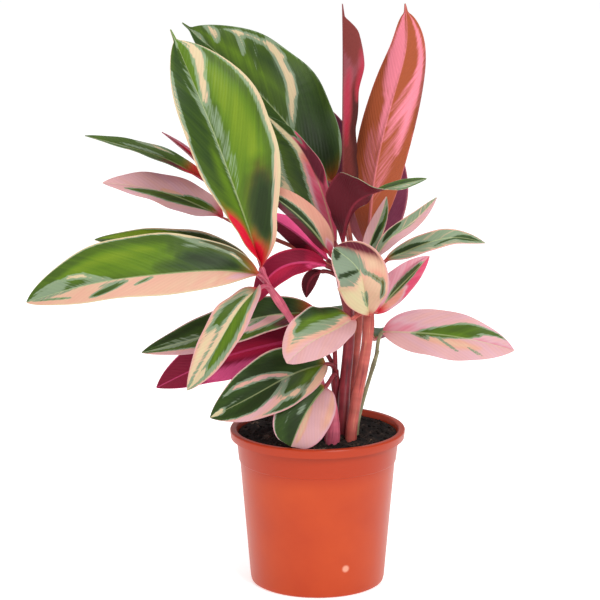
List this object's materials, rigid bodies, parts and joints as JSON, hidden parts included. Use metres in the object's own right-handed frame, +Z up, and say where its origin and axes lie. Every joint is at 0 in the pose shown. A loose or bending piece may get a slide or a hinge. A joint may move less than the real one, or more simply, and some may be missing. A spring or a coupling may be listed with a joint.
{
  "type": "potted stromanthe",
  "caption": "Leafy house plant with long pointed green, cream and pink leaves on reddish stems, in a round tapered plastic nursery pot filled with potting mix.",
  "frame": {"origin": "middle of the pot's underside, on the surface that it stands on", "axes": "+Z up along the pot's axis; +X to the right and -Y towards the viewer, as pictured"},
  "size_m": [0.3805, 0.2343, 0.4622],
  "materials": {
    "terracotta_plastic": "moulded, semi-gloss",
    "potting_mix": "moist peat and bark crumbs, matt",
    "cane_stem": "smooth stem, satin",
    "maroon_stem": "smooth stem, satin",
    "rose_stem": "smooth stem, satin",
    "olive_stem": "smooth stem, satin",
    "green_leaf": "living leaf, satin, green, cream and pink above and purple-red below",
    "olive_leaf": "living leaf, satin, green, cream and pink above and purple-red below",
    "cream_leaf": "living leaf, satin, green, cream and pink above and purple-red below",
    "maroon_leaf": "living leaf, satin, green, cream and pink above and purple-red below",
    "coral_leaf": "living leaf, satin, green, cream and pink above and purple-red below",
    "rose_leaf": "living leaf, satin, green, cream and pink above and purple-red below",
    "pale_pink_leaf": "living leaf, satin, green, cream and pink above and purple-red below",
    "dark_green_leaf": "living leaf, satin, green, cream and pink above and purple-red below",
    "magenta_leaf": "living leaf, satin, green, cream and pink above and purple-red below"
  },
  "bodies": {
    "root": {"pot": "terracotta_plastic", "soil": "potting_mix", "front_shoot": "cane_stem", "centre_shoot": "maroon_stem", "left_shoot": "rose_stem", "back_shoot": "cane_stem", "right_shoot": "olive_stem", "low_shoot": "maroon_stem", "young_sheath": "rose_stem", "tall_left_blade": "green_leaf", "tall_back_blade": "green_leaf", "inner_left_blade": "olive_leaf", "low_inner_blade": "cream_leaf", "arching_blade": "maroon_leaf", "rolled_blade": "maroon_leaf", "tall_right_blade": "coral_leaf", "far_left_upper_blade": "green_leaf", "spike_blade": "rose_leaf", "far_left_lower_blade": "pale_pink_leaf", "tucked_blade": "rose_leaf", "behind_left_blade": "olive_leaf", "broad_left_blade": "green_leaf", "hanging_blade": "cream_leaf", "low_left_blade": "dark_green_leaf", "red_under_blade": "magenta_leaf", "front_pale_blade": "pale_pink_leaf", "striped_blade": "dark_green_leaf", "drooping_blade": "dark_green_leaf", "centre_blade": "cream_leaf", "right_up_blade": "rose_leaf", "right_small_blade": "dark_green_leaf", "right_narrow_blade": "pale_pink_leaf", "right_wavy_blade": "dark_green_leaf", "right_broad_blade": "pale_pink_leaf", "curled_blade": "maroon_leaf", "curled_hanging_blade": "maroon_leaf", "back_left_blade": "green_leaf", "back_low_blade": "pale_pink_leaf", "back_right_blade": "dark_green_leaf", "back_high_blade": "green_leaf", "back_tall_blade": "green_leaf"}
  },
  "joints": []
}
